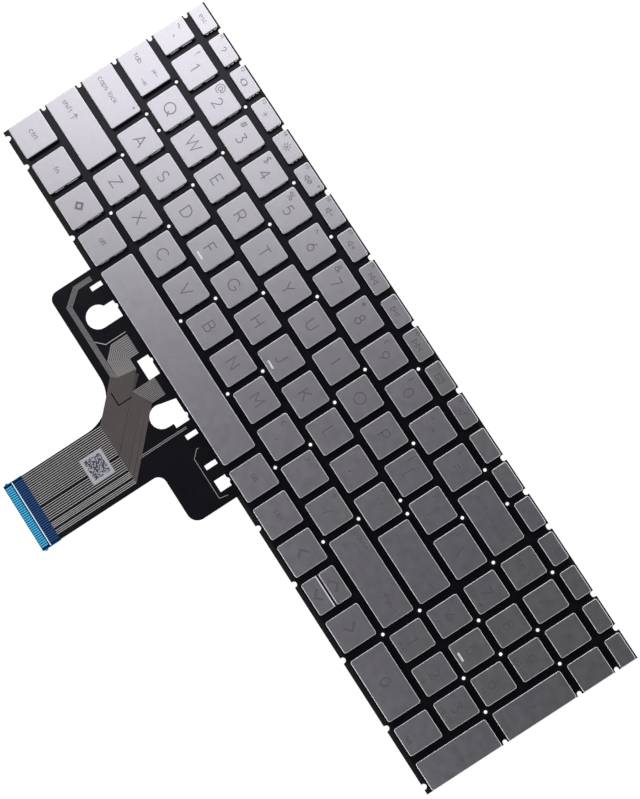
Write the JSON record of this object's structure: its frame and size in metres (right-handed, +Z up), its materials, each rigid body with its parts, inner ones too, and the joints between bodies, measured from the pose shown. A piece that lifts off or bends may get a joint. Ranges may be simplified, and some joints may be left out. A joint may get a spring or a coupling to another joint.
{
  "type": "laptop keyboard",
  "caption": "Flat laptop keyboard with a number pad: silver island keys over rubber domes and scissor frames on a thin black plate, with a printed film tail that ends in contacts.",
  "frame": {"origin": "middle of the base plate's underside", "axes": "+X along the rows to the right, +Y towards the function row, +Z up out of the key tops"},
  "size_m": [0.3352, 0.1856, 0.0036],
  "materials": {
    "plate": "thin steel sheet, black satin coat",
    "film": "black printed polyester film with silver traces",
    "stiffener": "blue polyester strip",
    "dome_rubber": "milky silicone",
    "frame_plastic": "white moulded plastic",
    "cap_paint": "satin silver paint on moulded plastic",
    "wire_steel": "drawn spring wire"
  },
  "bodies": {
    "base": {"base_plate": "plate", "membrane_switch": "film", "tail_stiffener": "stiffener", "rubber_domes": "dome_rubber", "scissor_outer_frames": "frame_plastic", "scissor_inner_frames": "frame_plastic", "function_row_keycaps": "cap_paint", "number_row_keycaps": "cap_paint", "number_pad_keycaps": "cap_paint"},
    "key_tab": {"key_tab": "cap_paint"},
    "key_q": {"key_q": "cap_paint"},
    "key_w": {"key_w": "cap_paint"},
    "key_e": {"key_e": "cap_paint"},
    "key_r": {"key_r": "cap_paint"},
    "key_t": {"key_t": "cap_paint"},
    "key_y": {"key_y": "cap_paint"},
    "key_u": {"key_u": "cap_paint"},
    "key_i": {"key_i": "cap_paint"},
    "key_o": {"key_o": "cap_paint"},
    "key_p": {"key_p": "cap_paint"},
    "key_left_bracket": {"key_left_bracket": "cap_paint"},
    "key_right_bracket": {"key_right_bracket": "cap_paint"},
    "key_backslash": {"key_backslash": "cap_paint"},
    "key_caps_lock": {"key_caps_lock": "cap_paint"},
    "key_a": {"key_a": "cap_paint"},
    "key_s": {"key_s": "cap_paint"},
    "key_d": {"key_d": "cap_paint"},
    "key_f": {"key_f": "cap_paint"},
    "key_g": {"key_g": "cap_paint"},
    "key_h": {"key_h": "cap_paint"},
    "key_j": {"key_j": "cap_paint"},
    "key_k": {"key_k": "cap_paint"},
    "key_l": {"key_l": "cap_paint"},
    "key_semicolon": {"key_semicolon": "cap_paint"},
    "key_quote": {"key_quote": "cap_paint"},
    "key_enter": {"key_enter": "cap_paint"},
    "key_left_shift": {"key_left_shift": "cap_paint"},
    "key_z": {"key_z": "cap_paint"},
    "key_x": {"key_x": "cap_paint"},
    "key_c": {"key_c": "cap_paint"},
    "key_v": {"key_v": "cap_paint"},
    "key_b": {"key_b": "cap_paint"},
    "key_n": {"key_n": "cap_paint"},
    "key_m": {"key_m": "cap_paint"},
    "key_comma": {"key_comma": "cap_paint"},
    "key_period": {"key_period": "cap_paint"},
    "key_slash": {"key_slash": "cap_paint"},
    "key_right_shift": {"key_right_shift": "cap_paint"},
    "key_left_ctrl": {"key_left_ctrl": "cap_paint"},
    "key_fn": {"key_fn": "cap_paint"},
    "key_system": {"key_system": "cap_paint"},
    "key_left_alt": {"key_left_alt": "cap_paint"},
    "key_space": {"key_space": "cap_paint"},
    "key_right_alt": {"key_right_alt": "cap_paint"},
    "key_right_ctrl": {"key_right_ctrl": "cap_paint"},
    "key_left_arrow": {"key_left_arrow": "cap_paint"},
    "key_up_arrow": {"key_up_arrow": "cap_paint"},
    "key_right_arrow": {"key_right_arrow": "cap_paint"},
    "key_down_arrow": {"key_down_arrow": "cap_paint"},
    "space_bar_wire": {"space_bar_wire": "wire_steel"}
  },
  "joints": [
    {"name": "press_tab", "type": "slide", "parent": "base", "child": "key_tab", "axis": [0, 0, -1], "range_m": [0, 0.0014], "stiffness_N_per_m": 300, "springref_m": -0.0008, "deforming": ["rubber_domes", "scissor_outer_frames", "scissor_inner_frames"]},
    {"name": "press_q", "type": "slide", "parent": "base", "child": "key_q", "axis": [0, 0, -1], "range_m": [0, 0.0014], "stiffness_N_per_m": 300, "springref_m": -0.0008, "deforming": ["rubber_domes", "scissor_outer_frames", "scissor_inner_frames"]},
    {"name": "press_w", "type": "slide", "parent": "base", "child": "key_w", "axis": [0, 0, -1], "range_m": [0, 0.0014], "stiffness_N_per_m": 300, "springref_m": -0.0008, "deforming": ["rubber_domes", "scissor_outer_frames", "scissor_inner_frames"]},
    {"name": "press_e", "type": "slide", "parent": "base", "child": "key_e", "axis": [0, 0, -1], "range_m": [0, 0.0014], "stiffness_N_per_m": 300, "springref_m": -0.0008, "deforming": ["rubber_domes", "scissor_outer_frames", "scissor_inner_frames"]},
    {"name": "press_r", "type": "slide", "parent": "base", "child": "key_r", "axis": [0, 0, -1], "range_m": [0, 0.0014], "stiffness_N_per_m": 300, "springref_m": -0.0008, "deforming": ["rubber_domes", "scissor_outer_frames", "scissor_inner_frames"]},
    {"name": "press_t", "type": "slide", "parent": "base", "child": "key_t", "axis": [0, 0, -1], "range_m": [0, 0.0014], "stiffness_N_per_m": 300, "springref_m": -0.0008, "deforming": ["rubber_domes", "scissor_outer_frames", "scissor_inner_frames"]},
    {"name": "press_y", "type": "slide", "parent": "base", "child": "key_y", "axis": [0, 0, -1], "range_m": [0, 0.0014], "stiffness_N_per_m": 300, "springref_m": -0.0008, "deforming": ["rubber_domes", "scissor_outer_frames", "scissor_inner_frames"]},
    {"name": "press_u", "type": "slide", "parent": "base", "child": "key_u", "axis": [0, 0, -1], "range_m": [0, 0.0014], "stiffness_N_per_m": 300, "springref_m": -0.0008, "deforming": ["rubber_domes", "scissor_outer_frames", "scissor_inner_frames"]},
    {"name": "press_i", "type": "slide", "parent": "base", "child": "key_i", "axis": [0, 0, -1], "range_m": [0, 0.0014], "stiffness_N_per_m": 300, "springref_m": -0.0008, "deforming": ["rubber_domes", "scissor_outer_frames", "scissor_inner_frames"]},
    {"name": "press_o", "type": "slide", "parent": "base", "child": "key_o", "axis": [0, 0, -1], "range_m": [0, 0.0014], "stiffness_N_per_m": 300, "springref_m": -0.0008, "deforming": ["rubber_domes", "scissor_outer_frames", "scissor_inner_frames"]},
    {"name": "press_p", "type": "slide", "parent": "base", "child": "key_p", "axis": [0, 0, -1], "range_m": [0, 0.0014], "stiffness_N_per_m": 300, "springref_m": -0.0008, "deforming": ["rubber_domes", "scissor_outer_frames", "scissor_inner_frames"]},
    {"name": "press_left_bracket", "type": "slide", "parent": "base", "child": "key_left_bracket", "axis": [0, 0, -1], "range_m": [0, 0.0014], "stiffness_N_per_m": 300, "springref_m": -0.0008, "deforming": ["rubber_domes", "scissor_outer_frames", "scissor_inner_frames"]},
    {"name": "press_right_bracket", "type": "slide", "parent": "base", "child": "key_right_bracket", "axis": [0, 0, -1], "range_m": [0, 0.0014], "stiffness_N_per_m": 300, "springref_m": -0.0008, "deforming": ["rubber_domes", "scissor_outer_frames", "scissor_inner_frames"]},
    {"name": "press_backslash", "type": "slide", "parent": "base", "child": "key_backslash", "axis": [0, 0, -1], "range_m": [0, 0.0014], "stiffness_N_per_m": 300, "springref_m": -0.0008, "deforming": ["rubber_domes", "scissor_outer_frames", "scissor_inner_frames"]},
    {"name": "press_caps_lock", "type": "slide", "parent": "base", "child": "key_caps_lock", "axis": [0, 0, -1], "range_m": [0, 0.0014], "stiffness_N_per_m": 300, "springref_m": -0.0008, "deforming": ["rubber_domes", "scissor_outer_frames", "scissor_inner_frames"]},
    {"name": "press_a", "type": "slide", "parent": "base", "child": "key_a", "axis": [0, 0, -1], "range_m": [0, 0.0014], "stiffness_N_per_m": 300, "springref_m": -0.0008, "deforming": ["rubber_domes", "scissor_outer_frames", "scissor_inner_frames"]},
    {"name": "press_s", "type": "slide", "parent": "base", "child": "key_s", "axis": [0, 0, -1], "range_m": [0, 0.0014], "stiffness_N_per_m": 300, "springref_m": -0.0008, "deforming": ["rubber_domes", "scissor_outer_frames", "scissor_inner_frames"]},
    {"name": "press_d", "type": "slide", "parent": "base", "child": "key_d", "axis": [0, 0, -1], "range_m": [0, 0.0014], "stiffness_N_per_m": 300, "springref_m": -0.0008, "deforming": ["rubber_domes", "scissor_outer_frames", "scissor_inner_frames"]},
    {"name": "press_f", "type": "slide", "parent": "base", "child": "key_f", "axis": [0, 0, -1], "range_m": [0, 0.0014], "stiffness_N_per_m": 300, "springref_m": -0.0008, "deforming": ["rubber_domes", "scissor_outer_frames", "scissor_inner_frames"]},
    {"name": "press_g", "type": "slide", "parent": "base", "child": "key_g", "axis": [0, 0, -1], "range_m": [0, 0.0014], "stiffness_N_per_m": 300, "springref_m": -0.0008, "deforming": ["rubber_domes", "scissor_outer_frames", "scissor_inner_frames"]},
    {"name": "press_h", "type": "slide", "parent": "base", "child": "key_h", "axis": [0, 0, -1], "range_m": [0, 0.0014], "stiffness_N_per_m": 300, "springref_m": -0.0008, "deforming": ["rubber_domes", "scissor_outer_frames", "scissor_inner_frames"]},
    {"name": "press_j", "type": "slide", "parent": "base", "child": "key_j", "axis": [0, 0, -1], "range_m": [0, 0.0014], "stiffness_N_per_m": 300, "springref_m": -0.0008, "deforming": ["rubber_domes", "scissor_outer_frames", "scissor_inner_frames"]},
    {"name": "press_k", "type": "slide", "parent": "base", "child": "key_k", "axis": [0, 0, -1], "range_m": [0, 0.0014], "stiffness_N_per_m": 300, "springref_m": -0.0008, "deforming": ["rubber_domes", "scissor_outer_frames", "scissor_inner_frames"]},
    {"name": "press_l", "type": "slide", "parent": "base", "child": "key_l", "axis": [0, 0, -1], "range_m": [0, 0.0014], "stiffness_N_per_m": 300, "springref_m": -0.0008, "deforming": ["rubber_domes", "scissor_outer_frames", "scissor_inner_frames"]},
    {"name": "press_semicolon", "type": "slide", "parent": "base", "child": "key_semicolon", "axis": [0, 0, -1], "range_m": [0, 0.0014], "stiffness_N_per_m": 300, "springref_m": -0.0008, "deforming": ["rubber_domes", "scissor_outer_frames", "scissor_inner_frames"]},
    {"name": "press_quote", "type": "slide", "parent": "base", "child": "key_quote", "axis": [0, 0, -1], "range_m": [0, 0.0014], "stiffness_N_per_m": 300, "springref_m": -0.0008, "deforming": ["rubber_domes", "scissor_outer_frames", "scissor_inner_frames"]},
    {"name": "press_enter", "type": "slide", "parent": "base", "child": "key_enter", "axis": [0, 0, -1], "range_m": [0, 0.0014], "stiffness_N_per_m": 300, "springref_m": -0.0008, "deforming": ["rubber_domes", "scissor_outer_frames", "scissor_inner_frames"]},
    {"name": "press_left_shift", "type": "slide", "parent": "base", "child": "key_left_shift", "axis": [0, 0, -1], "range_m": [0, 0.0014], "stiffness_N_per_m": 300, "springref_m": -0.0008, "deforming": ["rubber_domes", "scissor_outer_frames", "scissor_inner_frames"]},
    {"name": "press_z", "type": "slide", "parent": "base", "child": "key_z", "axis": [0, 0, -1], "range_m": [0, 0.0014], "stiffness_N_per_m": 300, "springref_m": -0.0008, "deforming": ["rubber_domes", "scissor_outer_frames", "scissor_inner_frames"]},
    {"name": "press_x", "type": "slide", "parent": "base", "child": "key_x", "axis": [0, 0, -1], "range_m": [0, 0.0014], "stiffness_N_per_m": 300, "springref_m": -0.0008, "deforming": ["rubber_domes", "scissor_outer_frames", "scissor_inner_frames"]},
    {"name": "press_c", "type": "slide", "parent": "base", "child": "key_c", "axis": [0, 0, -1], "range_m": [0, 0.0014], "stiffness_N_per_m": 300, "springref_m": -0.0008, "deforming": ["rubber_domes", "scissor_outer_frames", "scissor_inner_frames"]},
    {"name": "press_v", "type": "slide", "parent": "base", "child": "key_v", "axis": [0, 0, -1], "range_m": [0, 0.0014], "stiffness_N_per_m": 300, "springref_m": -0.0008, "deforming": ["rubber_domes", "scissor_outer_frames", "scissor_inner_frames"]},
    {"name": "press_b", "type": "slide", "parent": "base", "child": "key_b", "axis": [0, 0, -1], "range_m": [0, 0.0014], "stiffness_N_per_m": 300, "springref_m": -0.0008, "deforming": ["rubber_domes", "scissor_outer_frames", "scissor_inner_frames"]},
    {"name": "press_n", "type": "slide", "parent": "base", "child": "key_n", "axis": [0, 0, -1], "range_m": [0, 0.0014], "stiffness_N_per_m": 300, "springref_m": -0.0008, "deforming": ["rubber_domes", "scissor_outer_frames", "scissor_inner_frames"]},
    {"name": "press_m", "type": "slide", "parent": "base", "child": "key_m", "axis": [0, 0, -1], "range_m": [0, 0.0014], "stiffness_N_per_m": 300, "springref_m": -0.0008, "deforming": ["rubber_domes", "scissor_outer_frames", "scissor_inner_frames"]},
    {"name": "press_comma", "type": "slide", "parent": "base", "child": "key_comma", "axis": [0, 0, -1], "range_m": [0, 0.0014], "stiffness_N_per_m": 300, "springref_m": -0.0008, "deforming": ["rubber_domes", "scissor_outer_frames", "scissor_inner_frames"]},
    {"name": "press_period", "type": "slide", "parent": "base", "child": "key_period", "axis": [0, 0, -1], "range_m": [0, 0.0014], "stiffness_N_per_m": 300, "springref_m": -0.0008, "deforming": ["rubber_domes", "scissor_outer_frames", "scissor_inner_frames"]},
    {"name": "press_slash", "type": "slide", "parent": "base", "child": "key_slash", "axis": [0, 0, -1], "range_m": [0, 0.0014], "stiffness_N_per_m": 300, "springref_m": -0.0008, "deforming": ["rubber_domes", "scissor_outer_frames", "scissor_inner_frames"]},
    {"name": "press_right_shift", "type": "slide", "parent": "base", "child": "key_right_shift", "axis": [0, 0, -1], "range_m": [0, 0.0014], "stiffness_N_per_m": 300, "springref_m": -0.0008, "deforming": ["rubber_domes", "scissor_outer_frames", "scissor_inner_frames"]},
    {"name": "press_left_ctrl", "type": "slide", "parent": "base", "child": "key_left_ctrl", "axis": [0, 0, -1], "range_m": [0, 0.0014], "stiffness_N_per_m": 300, "springref_m": -0.0008, "deforming": ["rubber_domes", "scissor_outer_frames", "scissor_inner_frames"]},
    {"name": "press_fn", "type": "slide", "parent": "base", "child": "key_fn", "axis": [0, 0, -1], "range_m": [0, 0.0014], "stiffness_N_per_m": 300, "springref_m": -0.0008, "deforming": ["rubber_domes", "scissor_outer_frames", "scissor_inner_frames"]},
    {"name": "press_system", "type": "slide", "parent": "base", "child": "key_system", "axis": [0, 0, -1], "range_m": [0, 0.0014], "stiffness_N_per_m": 300, "springref_m": -0.0008, "deforming": ["rubber_domes", "scissor_outer_frames", "scissor_inner_frames"]},
    {"name": "press_left_alt", "type": "slide", "parent": "base", "child": "key_left_alt", "axis": [0, 0, -1], "range_m": [0, 0.0014], "stiffness_N_per_m": 300, "springref_m": -0.0008, "deforming": ["rubber_domes", "scissor_outer_frames", "scissor_inner_frames"]},
    {"name": "press_space", "type": "slide", "parent": "base", "child": "key_space", "axis": [0, 0, -1], "range_m": [0, 0.0014], "stiffness_N_per_m": 500, "springref_m": -0.0008, "deforming": ["rubber_domes", "scissor_outer_frames", "scissor_inner_frames"]},
    {"name": "press_right_alt", "type": "slide", "parent": "base", "child": "key_right_alt", "axis": [0, 0, -1], "range_m": [0, 0.0014], "stiffness_N_per_m": 300, "springref_m": -0.0008, "deforming": ["rubber_domes", "scissor_outer_frames", "scissor_inner_frames"]},
    {"name": "press_right_ctrl", "type": "slide", "parent": "base", "child": "key_right_ctrl", "axis": [0, 0, -1], "range_m": [0, 0.0014], "stiffness_N_per_m": 300, "springref_m": -0.0008, "deforming": ["rubber_domes", "scissor_outer_frames", "scissor_inner_frames"]},
    {"name": "press_left_arrow", "type": "slide", "parent": "base", "child": "key_left_arrow", "axis": [0, 0, -1], "range_m": [0, 0.0014], "stiffness_N_per_m": 300, "springref_m": -0.0008, "deforming": ["rubber_domes", "scissor_outer_frames", "scissor_inner_frames"]},
    {"name": "press_up_arrow", "type": "slide", "parent": "base", "child": "key_up_arrow", "axis": [0, 0, -1], "range_m": [0, 0.0014], "stiffness_N_per_m": 300, "springref_m": -0.0008, "deforming": ["rubber_domes", "scissor_outer_frames", "scissor_inner_frames"]},
    {"name": "press_right_arrow", "type": "slide", "parent": "base", "child": "key_right_arrow", "axis": [0, 0, -1], "range_m": [0, 0.0014], "stiffness_N_per_m": 300, "springref_m": -0.0008, "deforming": ["rubber_domes", "scissor_outer_frames", "scissor_inner_frames"]},
    {"name": "press_down_arrow", "type": "slide", "parent": "base", "child": "key_down_arrow", "axis": [0, 0, -1], "range_m": [0, 0.0014], "stiffness_N_per_m": 300, "springref_m": -0.0008, "deforming": ["rubber_domes", "scissor_outer_frames", "scissor_inner_frames"]},
    {"name": "turn_space_bar_wire", "type": "hinge", "parent": "key_space", "child": "space_bar_wire", "pos_m": [-0.04215, -0.03483, 0.00255], "axis": [-1, 0, 0], "range_deg": [0, 9]}
  ],
  "couplings": [
    {"joint": "turn_space_bar_wire", "follows": "press_space", "rad_per_m": 111.67}
  ]
}
